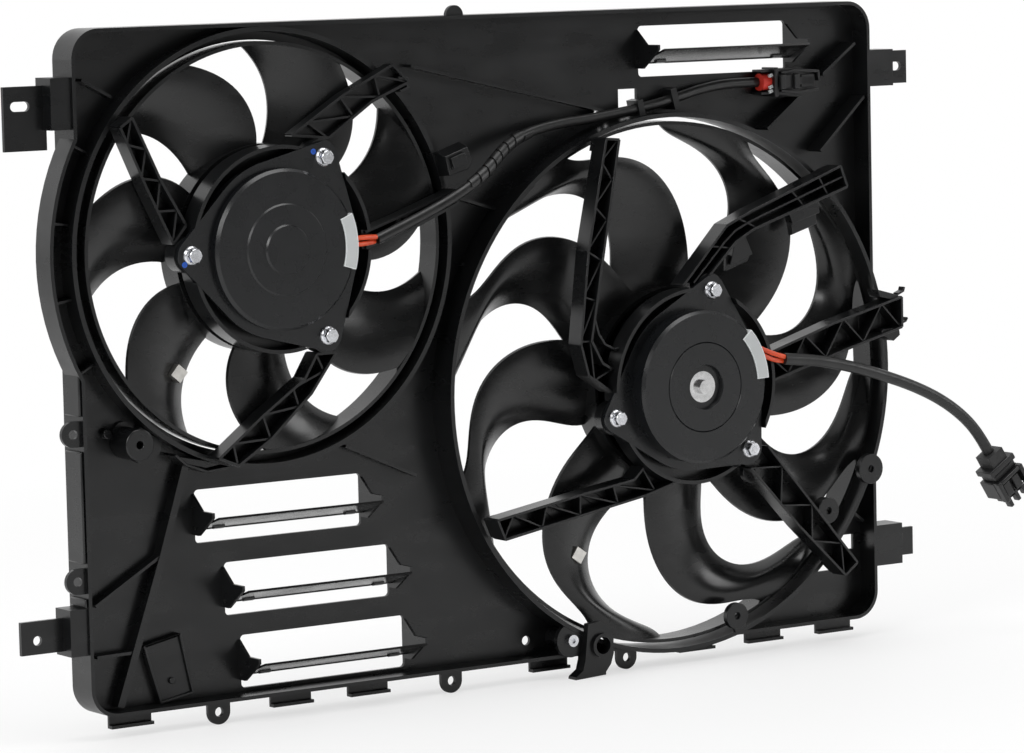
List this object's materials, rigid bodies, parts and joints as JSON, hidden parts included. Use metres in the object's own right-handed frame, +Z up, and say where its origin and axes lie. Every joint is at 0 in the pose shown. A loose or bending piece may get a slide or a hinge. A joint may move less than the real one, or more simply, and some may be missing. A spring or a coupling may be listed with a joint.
{
  "type": "radiator fan shroud",
  "caption": "Moulded radiator shroud that carries a small and a large electric fan on ribbed arms, with relief flaps, cables and mounting tabs.",
  "frame": {"origin": "middle of the plane of the rim's rear edge, which meets the radiator", "axes": "+X across the shroud to the large fan's side, +Y towards the radiator, +Z up"},
  "size_m": [0.8114, 0.078, 0.4745],
  "materials": {
    "black_plastic": "moulded, satin",
    "coated_steel": "black coating, satin",
    "ground_steel": "ground",
    "magnet": "sintered",
    "carbon": "pressed carbon",
    "pale_plastic": "moulded, pale",
    "zinc_steel": "zinc plated",
    "red_insulation": "insulation, satin",
    "sheath": "sheath, satin",
    "red_rubber": "soft, matte",
    "black_rubber": "soft, matte",
    "bright_steel": "bright",
    "core_steel": "laminated",
    "copper": "copper"
  },
  "bodies": {
    "shroud": {"shroud_rim": "black_plastic", "shroud_panel": "black_plastic", "window_panels": "black_plastic", "small_fan_ring": "black_plastic", "large_fan_ring": "black_plastic", "rim_ears_and_hooks": "black_plastic", "mounting_tabs": "black_plastic", "panel_ribs": "black_plastic", "flap_brackets": "black_plastic", "small_motor_can": "coated_steel", "small_motor_flange": "coated_steel", "small_motor_end_plate": "coated_steel", "small_motor_bearings": "ground_steel", "small_motor_magnets": "magnet", "small_brushes": "carbon", "small_brush_plate": "black_plastic", "small_terminal_block": "pale_plastic", "small_motor_screws": "zinc_steel", "large_motor_can": "coated_steel", "large_motor_flange": "coated_steel", "large_motor_end_plate": "coated_steel", "large_motor_bearings": "ground_steel", "large_motor_magnets": "magnet", "large_brushes": "carbon", "large_brush_plate": "black_plastic", "large_terminal_block": "pale_plastic", "large_motor_screws": "zinc_steel", "small_motor_carrier": "black_plastic", "large_motor_carrier": "black_plastic", "small_carrier_arms": "black_plastic", "large_carrier_arms": "black_plastic", "small_motor_wires": "red_insulation", "large_motor_wires": "red_insulation", "small_motor_cable": "sheath", "large_motor_cable": "sheath", "small_connector": "black_plastic", "small_connector_seal": "red_rubber", "large_connector": "black_plastic", "large_connector_seal": "black_rubber", "cable_clips": "black_plastic", "hose_clip": "black_plastic", "hose_clip_screw": "zinc_steel"},
    "small_rotor": {"small_fan": "black_plastic", "small_motor_shaft": "ground_steel", "small_fan_nut": "zinc_steel", "small_balance_clip": "bright_steel", "small_armature_core": "core_steel", "small_armature_winding": "copper", "small_commutator": "copper"},
    "large_rotor": {"large_fan": "black_plastic", "large_motor_shaft": "ground_steel", "large_fan_nut": "zinc_steel", "large_balance_clip": "bright_steel", "large_armature_core": "core_steel", "large_armature_winding": "copper", "large_commutator": "copper"},
    "flap_1": {"relief_flap_1": "black_plastic"},
    "flap_2": {"relief_flap_2": "black_plastic"},
    "flap_3": {"relief_flap_3": "black_plastic"},
    "flap_4": {"relief_flap_4": "black_plastic"}
  },
  "joints": [
    {"name": "small_fan_spin", "type": "hinge", "parent": "shroud", "child": "small_rotor", "pos_m": [-0.1864, 0, 0.0762], "axis": [0, 1, 0], "continuous": true},
    {"name": "large_fan_spin", "type": "hinge", "parent": "shroud", "child": "large_rotor", "pos_m": [0.145, 0, -0.0395], "axis": [0, 1, 0], "continuous": true},
    {"name": "flap_1_swing", "type": "hinge", "parent": "shroud", "child": "flap_1", "pos_m": [-0.173, -0.0122, -0.109], "axis": [-1, 0, 0], "range_deg": [0, 72]},
    {"name": "flap_2_swing", "type": "hinge", "parent": "shroud", "child": "flap_2", "pos_m": [-0.1515, -0.0122, -0.16], "axis": [-1, 0, 0], "range_deg": [0, 72]},
    {"name": "flap_3_swing", "type": "hinge", "parent": "shroud", "child": "flap_3", "pos_m": [-0.1405, -0.0122, -0.2105], "axis": [-1, 0, 0], "range_deg": [0, 72]},
    {"name": "flap_4_swing", "type": "hinge", "parent": "shroud", "child": "flap_4", "pos_m": [0.1995, -0.0122, 0.1885], "axis": [-1, 0, 0], "range_deg": [0, 72]}
  ]
}
